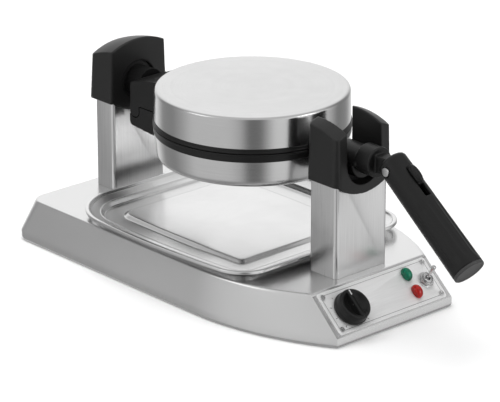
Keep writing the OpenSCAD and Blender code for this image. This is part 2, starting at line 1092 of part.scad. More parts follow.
module handle_shell() {
    bore_from = 27;
    end_z = handle_l - pivot_in - 3;
    color("#1a1a1a")
    on_handle()
        difference() {
            rotate_extrude()
                polygon(concat(
                    [[0, -pivot_in]],
                    arc([handle_r_top - 5, -pivot_in + 5], 5, -90, 0, 6),
                    [[handle_r_end, end_z], [0, end_z]]
                ));
            box([-lug_half_w - 0.4, -20, -pivot_in - 1], [lug_half_w + 0.4, lug_r + 0.4, lug_r + 1.5]);
            z_rod(12, bore_from, end_z + 1);
            z_rod(2.2, 0, bore_from + 1);
            x_rod(2.55, -20, 20, 0, 0);
            x_rod(5, -20, -handle_r_top + 3, 0, 0);
            box([-3.6, -3.6, slot_near], [3.6, 20, slot_far]);
        }
}

module handle_end_cap() {
    end_z = handle_l - pivot_in;
    color("#6f6f6f")
    on_handle()
        difference() {
            union() {
                z_rod(handle_r_end, end_z - 2.95, end_z);
                z_rod(11.9, end_z - 12, end_z - 1);
            }
            z_rod(9, end_z - 13, end_z - 4);
        }
}

module pivot_screw() {
    color("#a8a8a8")
    on_handle() {
        x_rod(2.5, -handle_r_top + 1, handle_r_top - 1.5, 0, 0);
        x_rod(4.6, -handle_r_top - 0.6, -handle_r_top + 2.9, 0, 0);
    }
}

// Thumb slide that works the latch
module slider_button() {
    color("#2b2b2b")
    on_handle()
        difference() {
            union() {
                box([-3.3, -3.3, slot_near + 0.6], [3.3, 17, slot_far - slider_travel - 8]);
                translate([0, 17, (slot_near + slot_far - slider_travel - 8) / 2])
                    rotate([-90, 0, 0])
                        linear_extrude(2.2)
                            rounded_rect(9, 21, 4.4);
            }
            z_rod(2.05, 0, slot_near + 8);
        }
}

module latch_rod() {
    color("#b4b4b4")
    on_handle()
        z_rod(2, lug_r + 1.6, slot_near + 7.5);
}

// Coil spring behind the slider, drawn as its envelope
module slider_spring() {
    color("#c4c4c4")
    on_handle()
        difference() {
            z_rod(4.5, slot_far - slider_travel - 7.9, slot_far + 12);
            z_rod(3.3, 0, slot_far + 13);
        }
}

placed() base_shell();
placed() base_plate();
placed() rubber_feet();
placed() base_screws();
placed() cord_gland();
placed() terminal_block();
placed() panel_plate();
placed() panel_screws();
placed() thermostat();
placed() lamp_holders();
placed() green_lens();
placed() red_lens();
placed() switch_body();
placed() switch_washer();
placed() switch_nut();
placed() switch_lever();
placed() browning_knob();
placed() knob_spindle();
placed() front_post();
placed() rear_post();
placed() front_bracket();
placed() rear_bracket();
placed() post_bolts();
placed() post_nuts();
placed() front_cap();
placed() rear_cap();
placed() cap_screws();
placed() front_saddle();
placed() rear_bush();
placed() drip_tray();
placed() lower_shell();
placed() lower_band();
placed() lower_grid();
placed() lower_element();
placed() lower_reflector();
placed() lower_grid_screws();
placed() lower_arm();
placed() lower_hinge_block();
placed() lower_hinge_screws();
placed() rear_shaft();
placed() hinge_pin();
placed() upper_shell();
placed() upper_band();
placed() upper_grid();
placed() upper_element();
placed() upper_reflector();
placed() upper_grid_screws();
placed() upper_arm();
placed() upper_hinge_block();
placed() upper_hinge_screws();
placed() handle_shell();
placed() handle_end_cap();
placed() pivot_screw();
placed() slider_button();
placed() latch_rod();
placed() slider_spring();
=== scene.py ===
import json
import math

import bmesh
import bpy
from mathutils import Matrix, Vector


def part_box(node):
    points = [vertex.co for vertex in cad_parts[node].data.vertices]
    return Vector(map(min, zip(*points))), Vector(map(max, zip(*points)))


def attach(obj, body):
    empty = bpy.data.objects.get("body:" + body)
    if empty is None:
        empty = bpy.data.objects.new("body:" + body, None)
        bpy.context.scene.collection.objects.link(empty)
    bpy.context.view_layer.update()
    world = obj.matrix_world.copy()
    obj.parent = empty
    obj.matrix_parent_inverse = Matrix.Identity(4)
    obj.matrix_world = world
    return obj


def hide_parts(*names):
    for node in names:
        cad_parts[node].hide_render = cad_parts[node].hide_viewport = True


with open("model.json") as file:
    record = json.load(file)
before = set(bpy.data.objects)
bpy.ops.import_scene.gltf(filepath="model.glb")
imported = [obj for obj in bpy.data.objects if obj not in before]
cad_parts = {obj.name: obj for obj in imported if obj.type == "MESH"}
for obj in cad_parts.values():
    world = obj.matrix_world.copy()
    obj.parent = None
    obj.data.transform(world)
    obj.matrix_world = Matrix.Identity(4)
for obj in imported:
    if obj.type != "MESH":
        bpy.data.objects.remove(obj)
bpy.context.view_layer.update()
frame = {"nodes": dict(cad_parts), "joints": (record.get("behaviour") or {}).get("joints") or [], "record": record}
MM = 0.001
CAMERA_AZIMUTH = math.radians(-42.3)
CAMERA_ELEVATION = math.radians(20.9)
CAMERA_DISTANCE = 3.180
CAMERA_LENS = 218.2
AIM_HEIGHT, AIM_LEFT, AIM_DOWN = 110 * MM, 2.6 * MM, 31.2 * MM
HEAD_R, BAND_R, GRID_R, GRID_SEAT_R = 103 * MM, 104.4 * MM, 96.8 * MM, 93 * MM
SHEET = 1.2 * MM
UPPER_DEPTH, LOWER_DEPTH = 38.4 * MM, 37.8 * MM
UPPER_BAND_H, LOWER_BAND_H = 5.3 * MM, 8.8 * MM
GRIP_START, GRIP_END, GRIP_R = 48 * MM, 122 * MM, 14 * MM
HEAD_STEPS = 192
MERGE = 2e-6


# ------------------------------------------------------------------ places from the frame

def joint(name):
    return next(j for j in frame["joints"] if j["name"] == name)


def middle(node):
    low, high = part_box(node)
    return (low + high) / 2


HEAD_Y = middle("upper_shell").y
AXIS_Z = joint("head_rotate")["pos_m"][2]
HEAD = Vector((0, HEAD_Y, AXIS_Z))
PANEL_UP = Vector(joint("knob_turn")["axis"])
PANEL_DOWN = Vector((0, -PANEL_UP.z, PANEL_UP.y))
KNOB = Vector(joint("knob_turn")["pos_m"])
PIVOT = Vector(joint("handle_fold")["pos_m"])
HANDLE_AXIS = Vector(joint("slider_press")["axis"])


def panel_frame(origin):
    """Matrix with X across the panel, Y up its slope and Z out of it."""
    x, y, z = Vector((1, 0, 0)), -PANEL_DOWN, PANEL_UP
    return Matrix(((x.x, y.x, z.x, origin.x), (x.y, y.y, z.y, origin.y),
                   (x.z, y.z, z.z, origin.z), (0, 0, 0, 1)))


def handle_frame():
    """Matrix with Z from the pivot to the free end and Y on the thumb's side."""
    x, z = Vector((1, 0, 0)), HANDLE_AXIS
    y = z.cross(x)
    return Matrix(((x.x, y.x, z.x, PIVOT.x), (x.y, y.y, z.y, PIVOT.y),
                   (x.z, y.z, z.z, PIVOT.z), (0, 0, 0, 1)))


# ------------------------------------------------------------------ camera, floor and light

def make_camera():
    azimuth, elevation = CAMERA_AZIMUTH, CAMERA_ELEVATION
    right = Vector((math.cos(azimuth), math.sin(azimuth), 0))
    back = Vector((math.sin(azimuth) * math.cos(elevation),
                   -math.cos(azimuth) * math.cos(elevation), math.sin(elevation)))
    up = back.cross(right)
    aim = Vector((0, HEAD_Y, AIM_HEIGHT)) - right * AIM_LEFT - up * AIM_DOWN
    data = bpy.data.cameras.new("camera")
    data.sensor_width = 36
    data.lens = CAMERA_LENS
    data.clip_end = 30
    camera = bpy.data.objects.new("camera", data)
    bpy.context.collection.objects.link(camera)
    camera.matrix_world = Matrix(((right.x, up.x, back.x, 0), (right.y, up.y, back.y, 0),
                                  (right.z, up.z, back.z, 0), (0, 0, 0, 1)))
    camera.location = aim + back * CAMERA_DISTANCE
    bpy.context.scene.camera = camera


# What stands round the object, as (degrees to the right of the camera, brightness)
SURROUNDINGS = ((-180, 1.05), (-165, 1.0), (-148, 0.85), (-128, 0.30), (-106, 0.27), (-90, 0.42),
                (-74, 0.62), (-28, 0.62), (-14, 0.50), (-4, 0.16), (10, 0.18), (26, 0.75),
                (50, 0.80), (92, 0.72), (116, 0.22), (140, 0.30), (166, 0.85), (180, 1.05))
OVERHEAD, BELOW = 0.62, 0.30


def make_world():
    """Studio seen in the metal: white behind the object, greys and dark flags beside and before it."""
    world = bpy.data.worlds.new("studio")
    world.use_nodes = True
    tree = world.node_tree
    background = tree.nodes["Background"]

    def math_node(operation, *values):
        made = tree.nodes.new("ShaderNodeMath")
        made.operation = operation
        for socket, value in zip(made.inputs, values):
            if isinstance(value, (int, float)):
                socket.default_value = value
            else:
                tree.links.new(value, socket)
        return made.outputs[0]

    split = tree.nodes.new("ShaderNodeSeparateXYZ")
    tree.links.new(tree.nodes.new("ShaderNodeTexCoord").outputs["Generated"], split.inputs[0])
    x, y, z = split.outputs
    sine, cosine = math.sin(CAMERA_AZIMUTH), math.cos(CAMERA_AZIMUTH)
    towards = math_node("SUBTRACT", math_node("MULTIPLY", x, sine), math_node("MULTIPLY", y, cosine))
    rightwards = math_node("ADD", math_node("MULTIPLY", x, cosine), math_node("MULTIPLY", y, sine))
    angle = math_node("ARCTAN2", rightwards, towards)
    around = math_node("MULTIPLY_ADD", angle, 0.5 / math.pi, 0.5)
    ramp = tree.nodes.new("ShaderNodeValToRGB")
    tree.links.new(around, ramp.inputs[0])
    stops = ramp.color_ramp.elements
    stops[0].position, stops[1].position = 0, 1
    stops[0].color = (SURROUNDINGS[0][1],) * 3 + (1,)
    stops[1].color = (SURROUNDINGS[-1][1],) * 3 + (1,)
    for degrees, bright in SURROUNDINGS[1:-1]:
        stops.new(degrees / 360 + 0.5).color = (bright,) * 3 + (1,)

    def blend(low, high, start, stop):
        factor = tree.nodes.new("ShaderNodeMapRange")
        factor.interpolation_type = "SMOOTHSTEP"
        factor.inputs["From Min"].default_value = start
        factor.inputs["From Max"].default_value = stop
        tree.links.new(z, factor.inputs["Value"])
        mix = tree.nodes.new("ShaderNodeMix")
        mix.data_type = "RGBA"
        tree.links.new(factor.outputs[0], mix.inputs["Factor"])
        for socket, value in ((mix.inputs["A"], low), (mix.inputs["B"], high)):
            if isinstance(value, float):
                socket.default_value = (value,) * 3 + (1,)
            else:
                tree.links.new(value, socket)
        return mix.outputs["Result"]

    colour = blend(blend(BELOW, ramp.outputs[0], -0.85, -0.5), OVERHEAD, 0.5, 0.85)
    tree.links.new(colour, background.inputs[0])
    background.inputs["Strength"].default_value = 1.0
    bpy.context.scene.world = world


def make_light(name, place, aim, size, power, mirrored=True):
    data = bpy.data.lights.new(name, "AREA")
    data.shape = "RECTANGLE"
    data.size, data.size_y = size
    data.energy = power
    light = bpy.data.objects.new(name, data)
    bpy.context.collection.objects.link(light)
    light.location = place
    light.visible_glossy = mirrored
    light.rotation_mode = "QUATERNION"
    light.rotation_quaternion = (Vector(aim) - Vector(place)).to_track_quat("-Z", "Y")


def plain_stage(name, shade, roughness):
    material = bpy.data.materials.new(name)
    material.use_nodes = True
    shader = material.node_tree.nodes["Principled BSDF"]
    shader.inputs["Base Color"].default_value = (shade, shade, shade, 1)
    shader.inputs["Roughness"].default_value = roughness
    return material


def make_studio():
    bpy.ops.mesh.primitive_plane_add(size=12, location=(0, 0, 0))
    floor = bpy.context.object
    floor.name = "floor"
    floor.data.materials.append(plain_stage("floor_paper", 0.93, 0.7))
    floor.visible_glossy = False
    aim = (0, 0, 0.12)
    make_light("top_softbox", (-0.2, 0.4, 2.4), aim, (2.4, 2.4), 52, mirrored=False)
    make_light("left_softbox", (-2.2, 0.9, 1.7), aim, (1.2, 1.2), 4)
    make_light("front_softbox", (1.3, -2.6, 1.7), aim, (1.0, 1.0), 9)


# ------------------------------------------------------------------ materials

class Shade:
    """A node material that is built up step by step."""

    def __init__(self, name, metallic=0.0):
        self.material = bpy.data.materials.new(name)
        self.material.use_nodes = True
        self.tree = self.material.node_tree
        self.shader = self.tree.nodes["Principled BSDF"]
        self.shader.inputs["Metallic"].default_value = metallic
        self.coordinates = self.tree.nodes.new("ShaderNodeTexCoord").outputs["Object"]

    def link(self, output, target):
        self.tree.links.new(output, target)

    def node(self, kind, **values):
        made = self.tree.nodes.new(kind)
        for key, value in values.items():
            setattr(made, key, value)
        return made

    def noise(self, scale, detail=3.0, source=None):
        mapping = self.node("ShaderNodeMapping")
        mapping.inputs["Scale"].default_value = scale
        self.link(source or self.coordinates, mapping.inputs["Vector"])
        made = self.node("ShaderNodeTexNoise")
        made.inputs["Scale"].default_value = 1.0
        made.inputs["Detail"].default_value = detail
        self.link(mapping.outputs[0], made.inputs["Vector"])
        return made.outputs["Fac"]

    def ramp(self, value, low, high, start=0.3, stop=0.7):
        made = self.node("ShaderNodeValToRGB")
        first, last = made.color_ramp.elements
        first.position, first.color = start, (*low, 1)
        last.position, last.color = stop, (*high, 1)
        self.link(value, made.inputs[0])
        return made.outputs[0]

    def spread(self, value, low, high):
        made = self.node("ShaderNodeMapRange")
        made.inputs["To Min"].default_value = low
        made.inputs["To Max"].default_value = high
        self.link(value, made.inputs["Value"])
        return made.outputs[0]

    def times(self, first, second):
        made = self.node("ShaderNodeMix", data_type="RGBA", blend_type="MULTIPLY")
        made.inputs["Factor"].default_value = 1.0
        self.link(first, made.inputs["A"])
        self.link(second, made.inputs["B"])
        return made.outputs["Result"]

    def colour(self, output):
        self.link(output, self.shader.inputs["Base Color"])

    def roughness(self, output):
        self.link(output, self.shader.inputs["Roughness"])

    def bump(self, height, strength, distance):
        made = self.node("ShaderNodeBump")
        made.inputs["Strength"].default_value = strength
        made.inputs["Distance"].default_value = distance
        self.link(height, made.inputs["Height"])
        self.link(made.outputs[0], self.shader.inputs["Normal"])

    def set(self, **values):
        for key, value in values.items():
            self.shader.inputs[key.replace("_", " ")].default_value = value
        return self


def grey(value):
    return (value, value, value)


def smudged(shade, low, high, scale=14):
    """Large soft patches, as of handling and cleaning."""
    return shade.ramp(shade.noise((scale,) * 3, 4), grey(low), grey(high), 0.35, 0.65)


def brushed(name, value, scale, rough=(0.24, 0.4), bump=0.05, contrast=0.08):
    """Metal with straight brush marks: scale is small along the marks and large across them."""
    shade = Shade(name, metallic=1.0)
    marks = shade.noise(scale, 5)
    lines = shade.ramp(marks, grey(value - contrast), grey(value + contrast * 0.5))
    shade.colour(shade.times(lines, smudged(shade, 0.93, 1.0)))
    shade.roughness(shade.spread(marks, *rough))
    shade.bump(marks, bump, 0.0002)
    return shade.material


def spun(name, value, rough=(0.15, 0.23)):
    """Metal turned on a lathe: marks run round the head's upright axis, on top and on the sides."""
    shade = Shade(name, metallic=1.0)
    split = shade.node("ShaderNodeSeparateXYZ")
    shade.link(shade.coordinates, split.inputs[0])
    flat = shade.node("ShaderNodeCombineXYZ")
    off = shade.node("ShaderNodeMath", operation="SUBTRACT")
    off.inputs[1].default_value = HEAD_Y
    shade.link(split.outputs["Y"], off.inputs[0])
    shade.link(split.outputs["X"], flat.inputs["X"])
    shade.link(off.outputs[0], flat.inputs["Y"])
    radius = shade.node("ShaderNodeVectorMath", operation="LENGTH")
    shade.link(flat.outputs[0], radius.inputs[0])
    rings = shade.node("ShaderNodeCombineXYZ")
    shade.link(radius.outputs["Value"], rings.inputs["X"])
    shade.link(split.outputs["Z"], rings.inputs["Y"])
    marks = shade.noise((1500, 1500, 1), 4, rings.outputs[0])
    fine = shade.noise((60, 60, 1800), 3)
    lines = shade.ramp(marks, grey(value - 0.03), grey(value + 0.02))
    lines = shade.times(lines, shade.ramp(fine, grey(0.97), grey(1.0)))
    shade.colour(shade.times(lines, smudged(shade, 0.95, 1.0, 9)))
    shade.roughness(shade.spread(marks, *rough))
    shade.bump(marks, 0.02, 0.0001)
    return shade.material


def satin(name, value):
    """Anodised plate: pale, nearly even, with very fine brush marks across it."""
    shade = Shade(name, metallic=0.35)
    marks = shade.noise((40, 1800, 1800), 3)
    shade.colour(shade.times(shade.ramp(marks, grey(value - 0.05), grey(value + 0.02)),
                             smudged(shade, 0.94, 1.0)))
    shade.roughness(shade.spread(marks, 0.42, 0.52))
    shade.bump(marks, 0.02, 0.0001)
    return shade.material


def painted(name, value, rough=(0.2, 0.27)):
    """Satin metallic paint with a fine sparkle and a slight orange peel."""
    shade = Shade(name, metallic=0.92)
    flakes = shade.noise((2600,) * 3, 2)
    peel = shade.noise((420,) * 3, 2)
    tone = shade.ramp(flakes, grey(value - 0.04), grey(value + 0.04))
    shade.colour(shade.times(tone, smudged(shade, 0.95, 1.0, 7)))
    shade.roughness(shade.spread(shade.noise((30,) * 3, 4), *rough))
    shade.bump(peel, 0.05, 0.0003)
    shade.set(Coat_Weight=0.1, Coat_Roughness=0.25)
    return shade.material


def moulded(name, value, rough=(0.42, 0.56), bump=0.12, grain=1500, shine=0.5):
    """Moulded plastic with spark-eroded grain and worn, slightly greyer patches."""
    shade = Shade(name).set(Specular_IOR_Level=shine)
    grainy = shade.noise((grain,) * 3, 3)
    tone = shade.ramp(grainy, grey(value * 0.8), grey(value * 1.25))
    shade.colour(shade.times(tone, smudged(shade, 0.85, 1.0, 18)))
    shade.roughness(shade.spread(shade.noise((45,) * 3, 4), *rough))
    shade.bump(grainy, bump, 0.0002)
    return shade.material


def tinted(name, colour, rough=(0.04, 0.1)):
    """Clear coloured lens with a moulded pattern inside."""
    shade = Shade(name)
    deep = tuple(c * 0.45 for c in colour)
    cells = shade.node("ShaderNodeTexVoronoi")
    cells.inputs["Scale"].default_value = 300
    shade.link(shade.coordinates, cells.inputs["Vector"])
    shade.colour(shade.ramp(cells.outputs["Distance"], colour, deep, 0.1, 0.9))
    shade.roughness(shade.spread(shade.noise((90,) * 3, 2), *rough))
    shade.set(Coat_Weight=0.25, Coat_Roughness=0.05, IOR=1.4)
    return shade.material


def cast(name, value):
    """Cast aluminium under a dark non-stick coating."""
    shade = Shade(name, metallic=0.2)
    pits = shade.noise((900,) * 3, 4)
    shade.colour(shade.ramp(pits, grey(value * 0.7), grey(value * 1.3)))
    shade.roughness(shade.spread(shade.noise((60,) * 3, 4), 0.34, 0.5))
    shade.bump(pits, 0.15, 0.0003)
    return shade.material


def make_materials():
    across = 2600
    return {
        "base_paint": painted("base_paint", 0.8),
        "plate_steel": brushed("plate_steel", 0.5, (900, 40, 900), (0.35, 0.5)),
        "rubber": moulded("rubber", 0.022, (0.6, 0.8), 0.2, 900),
        "screw_steel": brushed("screw_steel", 0.66, (1500, 1500, 1500), (0.2, 0.35), 0.03),
        "black_plastic": moulded("black_plastic", 0.007, (0.34, 0.44), shine=0.35),
        "cap_plastic": moulded("cap_plastic", 0.012, (0.34, 0.44), shine=0.4),
        "band_plastic": moulded("band_plastic", 0.006, (0.3, 0.42), 0.06, shine=0.35),
        "ceramic_white": moulded("ceramic_white", 0.62, (0.25, 0.4), 0.05),
        "panel_metal": satin("panel_metal", 0.84),
        "green_lens": tinted("green_lens", (0.0, 0.2, 0.105)),
        "red_lens": tinted("red_lens", (0.5, 0.01, 0.007)),
        "lamp_white": moulded("lamp_white", 0.7, (0.2, 0.3), 0.03),
        "chrome": brushed("chrome", 0.7, (400, 400, 400), (0.14, 0.24), 0.01, 0.03),
        "post_steel": brushed("post_steel", 0.82, (across, across, 18), (0.24, 0.36), 0.07, 0.09),
        "shell_steel": spun("shell_steel", 0.72),
        "tray_steel": brushed("tray_steel", 0.84, (60, 600, 600), (0.2, 0.28), 0.01, 0.02),
        "grid_coating": cast("grid_coating", 0.05),
        "element_steel": cast("element_steel", 0.16),
        "bearing_plastic": moulded("bearing_plastic", 0.015, shine=0.35),
        "shaft_steel": moulded("shaft_steel", 0.008, (0.3, 0.4), 0.05, shine=0.35),
        "end_grey": moulded("end_grey", 0.045, (0.35, 0.45), 0.08),
        "ink": moulded("ink", 0.03, (0.4, 0.5), 0.02),
        "pointer_white": moulded("pointer_white", 0.75, (0.4, 0.5), 0.02),
    }


# ------------------------------------------------------------------ mesh building

def dress(mesh, name, body, slot, node=None, material=None, sharp=35):
    """Makes a finished piece of a mesh: material, shading, body and the CAD node it stands for."""
    mesh.validate()
    mesh.update()
    mesh.shade_smooth()
    mesh.set_sharp_from_angle(angle=math.radians(sharp))
    mesh.materials.clear()
    mesh.materials.append(materials[material or slot])
    made = bpy.data.objects.new(name, mesh)
    bpy.context.collection.objects.link(made)
    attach(made, body)
    if node:
        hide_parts(*([node] if isinstance(node, str) else node))
    return made


def fillet(points, radius, steps=5):
    """Rounds every inner corner of an open outline. A point may carry its own radius."""
    out = [points[0][:2]]
    for before, corner, after in zip(points, points[1:], points[2:]):
        size = corner[2] if len(corner) > 2 else radius
        p, a, b = (Vector(q[:2]) for q in (corner, before, after))
        to_a, to_b = (a - p), (b - p)
        if size <= 0 or to_a.length < 1e-9 or to_b.length < 1e-9:
            out.append(tuple(p))
            continue
        cut = min(size, to_a.length * 0.49, to_b.length * 0.49)
        first, last = p + to_a.normalized() * cut, p + to_b.normalized() * cut
        for i in range(steps + 1):
            t = i / steps
            out.append(tuple(first * (1 - t) ** 2 + p * 2 * t * (1 - t) + last * t * t))
    out.append(points[-1][:2])
    return out


def revolve(name, outline, place, body, slot, node=None, material=None, steps=144, sharp=35):
    """Turns an outline of (radius, height) points about the Z axis of the place matrix."""
    verts, faces = [], []
    count = len(outline)
    for i in range(steps):
        a = 2 * math.pi * i / steps
        verts += [place @ Vector((r * math.cos(a), r * math.sin(a), z)) for r, z in outline]
    for i in range(steps):
        j = (i + 1) % steps
        for k in range(count - 1):
            faces.append((i * count + k, j * count + k, j * count + k + 1, i * count + k + 1))
    return dress(closed_mesh(name, verts, faces), name, body, slot, node, material, sharp)


def closed_mesh(name, verts, faces):
    """Mesh with doubled points merged, empty faces dropped and faces turned outwards."""
    mesh = bpy.data.meshes.new(name)
    mesh.from_pydata([tuple(v) for v in verts], [], faces)
    work = bmesh.new()
    work.from_mesh(mesh)
    bmesh.ops.remove_doubles(work, verts=work.verts, dist=1e-6)
    bmesh.ops.dissolve_degenerate(work, edges=work.edges, dist=1e-7)
    bmesh.ops.recalc_face_normals(work, faces=work.faces)
    work.to_mesh(mesh)
    work.free()
    return mesh


def loft(name, rings, body, slot, node=None, material=None, sharp=35):
    """Skin through closed rings of equal length, closed at both ends."""
    verts = [p for ring in rings for p in ring]
    count = len(rings[0])
    faces = [(i * count + k, i * count + (k + 1) % count, (i + 1) * count + (k + 1) % count,
              (i + 1) * count + k) for i in range(len(rings) - 1) for k in range(count)]
    faces.append(tuple(range(count)))
    faces.append(tuple(range((len(rings) - 1) * count, len(rings) * count)))
    return dress(closed_mesh(name, verts, faces), name, body, slot, node, material, sharp)


def bevelled(node, body, slot, width, material=None, segments=2, sharp=30):
    """Copy of a CAD node with every crisp edge rounded."""
    mesh = frame["nodes"][node].data.copy()
    work = bmesh.new()
    work.from_mesh(mesh)
    bmesh.ops.remove_doubles(work, verts=work.verts, dist=MERGE)
    bmesh.ops.dissolve_limit(work, angle_limit=math.radians(1), verts=work.verts, edges=work.edges)
    edges = [e for e in work.edges
             if len(e.link_faces) == 2 and e.calc_face_angle(0) > math.radians(sharp)]
    bmesh.ops.bevel(work, geom=edges, offset=width, segments=segments, profile=0.5,
                    affect="EDGES", clamp_overlap=True)
    bmesh.ops.recalc_face_normals(work, faces=work.faces)
    work.to_mesh(mesh)
    work.free()
    return dress(mesh, node + "_shown", body, slot, node, material, sharp)


def moulded_copy(node, body, slot, voxel, passes, material=None, shape=None):
    """Copy of a CAD node as a moulding: an even mesh whose edges are all softly rounded."""
    source = frame["nodes"][node].data.copy()
    work = bmesh.new()
    work.from_mesh(source)
    bmesh.ops.remove_doubles(work, verts=work.verts, dist=MERGE)
    work.to_mesh(source)
    work.free()
    temporary = bpy.data.objects.new("temporary", source)
    bpy.context.collection.objects.link(temporary)
    remesh = temporary.modifiers.new("even", "REMESH")
    remesh.mode = "VOXEL"
    remesh.voxel_size = voxel
    smooth = temporary.modifiers.new("round", "SMOOTH")
    smooth.factor = 0.5
    smooth.iterations = passes
    graph = bpy.context.evaluated_depsgraph_get()
    mesh = bpy.data.meshes.new_from_object(temporary.evaluated_get(graph))
    bpy.data.objects.remove(temporary)
    if shape:
        for v in mesh.vertices:
            v.co = shape(v.co)
    return dress(mesh, node + "_shown", body, slot, node, material, sharp=60)


# ------------------------------------------------------------------ base and tray

def base_ring(half_w, rear, turn, front_x, front, z, corner=13 * MM, steps=26):
    """Outline of the base at one height: straight at the rear, curving in to a flat front."""
    deep, wide = turn - front, half_w - front_x
    radius = (deep * deep + wide * wide) / (2 * wide)
    side = []
    for i in range(9):
        a = math.radians(90 - 90 * i / 8)
        side.append((half_w - corner + corner * math.cos(a), rear - corner + corner * math.sin(a)))
    for i in range(steps + 1):
        y = turn - deep * i / steps
        side.append((half_w - radius + math.sqrt(radius ** 2 - (turn - y) ** 2), y))
    ring = side + [(-x, y) for x, y in reversed(side)]
    return [Vector((x, y, z)) for x, y in ring]


def make_base():
    low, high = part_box("base_shell")
    foot_w, rear, front = high.x, high.y, low.y
    lip_z, top_z = 10.6 * MM, high.z
    top_rear = rear - 11.5 * MM
    top_front = front + 39.65 * MM

    def foot(z, inset):
        return base_ring(foot_w - inset, rear - inset, HEAD_Y - 50 * MM, 81.6 * MM - inset,
                         front + inset, z, 15 * MM)

    def top(z, inset):
        return base_ring(foot_w - 10.5 * MM - inset, top_rear - inset, HEAD_Y - 45 * MM,
                         80.5 * MM - inset, top_front + inset, z, 19 * MM)

    def between(t):
        return [a.lerp(b, t) for a, b in zip(foot(lip_z, 0), top(top_z, 0))]

    round_r = 2.0 * MM
    rings = [foot(low.z, 4 * MM), foot(low.z, 1.6 * MM), foot(low.z + 0.5 * MM, 1.0 * MM),
             foot(low.z + 2.4 * MM, 0.2 * MM), foot(low.z + 3.4 * MM, 0), foot(lip_z - 0.8 * MM, 0),
             foot(lip_z - 0.2 * MM, 0.03 * MM), between(0.012), between(0.035)]
    rings += [between(t) for t in (0.2, 0.4, 0.6, 0.8, 0.93, 0.965)]
    for angle in (15, 35, 55, 75, 90):
        a = math.radians(angle)
        rings.append(top(top_z - round_r * (1 - math.sin(a)) * 0.5, round_r * (1 - math.cos(a))))
    rings.append(top(top_z, 4 * MM))
    loft("base_housing", rings, "base", "base_paint", "base_shell", sharp=28)


def tray_ring(half_w, low, high, inset, z, front_r=34 * MM, rear_r=62 * MM, bow=0.038):
    """Outline of the tray moved in by inset: bowed sides, wide corners at the rear."""
    w, low, high = half_w - inset, low + inset, high - inset
    front_r, rear_r = max(front_r - inset, 6 * MM), max(rear_r - inset, 6 * MM)
    right = []
    for i in range(15):
        a = math.radians(-90 + 90 * i / 14)
        right.append((w - front_r + front_r * math.cos(a), low + front_r + front_r * math.sin(a)))
    for i in range(1, 20):
        right.append((w, low + front_r + (high - rear_r - low - front_r) * i / 20))
    for i in range(21):
        a = math.radians(90 * i / 20)
        right.append((w - rear_r + rear_r * math.cos(a), high - rear_r + rear_r * math.sin(a)))
    widest = HEAD_Y + 40 * MM
    right = [(x * (1 - bow * ((y - widest) / 0.1) ** 2), y) for x, y in right]
    return [Vector((x, y, z)) for x, y in right + [(-x, y) for x, y in reversed(right)]]


def make_tray():
    """Pressed sheet: rolled rim, steep wall, sloping shelf, bead, gutter and raised middle."""
    low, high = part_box("drip_tray")
    floor, top, skin = low.z, high.z, 0.8 * MM
    profile = fillet([
        (1.4, -4.0), (0.0, -3.4), (0.0, -0.2), (4.6, 0.0), (6.2, -2.2), (16.6, -5.0),
        (17.6, -4.7), (19.0, -6.4), (21.4, -10.6), (43.5, -10.6), (48.0, -7.2), (54.0, -7.2)], 1.5, 4)
    upper = [(inset * MM, top + z * MM) for inset, z in profile]
    upper = [(inset, max(z, floor + skin)) for inset, z in upper]
    under = []
    for i, (inset, z) in enumerate(upper):
        a, b = upper[max(i - 1, 0)], upper[min(i + 1, len(upper) - 1)]
        run = Vector((b[0] - a[0], b[1] - a[1])).normalized()
        under.append((inset + run.y * skin, max(z - run.x * skin, floor)))
    rings = [tray_ring(high.x, low.y, high.y, inset, z)
             for inset, z in list(reversed(under)) + upper]
    loft("pressed_tray", rings, "tray", "tray_steel", "drip_tray", sharp=50)


# ------------------------------------------------------------------ head

def half_place(sign):
    """Frame of one half of the head, with Z measured away from the seam."""
    return Matrix.Translation(HEAD) @ Matrix.Diagonal((1, 1, sign, 1))


def make_shell(half, sign, depth, band_h, far_r, edge):
    wall, near_r = SHEET, HEAD_R
    start = band_h + 0.05 * MM
    outline = [(near_r - wall, start), (near_r, start), (far_r, depth, edge), (0, depth)]
    outer = fillet(outline, 0.25 * MM, 12)
    inner = [(0, depth - wall), (far_r - edge - wall, depth - wall),
             (far_r - wall, depth - edge * 1.1), (near_r - wall, start)]
    revolve(f"{half}_cup", outer + inner, half_place(sign), f"head_{half}", "shell_steel",
            f"{half}_shell", steps=HEAD_STEPS, sharp=40)


def make_band(half, sign, band_h):
    """Black ring of one half, with a groove at the seam and a lip that the shell sits on."""
    seam, rim, bore = 0.1 * MM, BAND_R, GRID_R + 0.2 * MM
    ledge, back = 16.05 * MM, 19 * MM
    outline = [(bore, seam, 0), (rim - 1.0 * MM, seam), (rim - 0.1 * MM, 0.9 * MM),
               (rim - 0.1 * MM, 1.9 * MM), (rim - 0.5 * MM, 2.3 * MM),
               (HEAD_R + 0.5 * MM, band_h - 0.5 * MM), (HEAD_R + 0.2 * MM, band_h),
               (HEAD_R - 2.4 * MM, band_h, 0), (HEAD_R - 2.4 * MM, back, 0),
               (GRID_SEAT_R, back, 0), (GRID_SEAT_R, ledge, 0),
               (bore, ledge, 0), (bore, seam, 0)]
    revolve(f"{half}_ring", fillet(outline, 0.35 * MM, 3), half_place(sign), f"head_{half}",
            "band_plastic", f"{half}_band", steps=HEAD_STEPS, sharp=40)


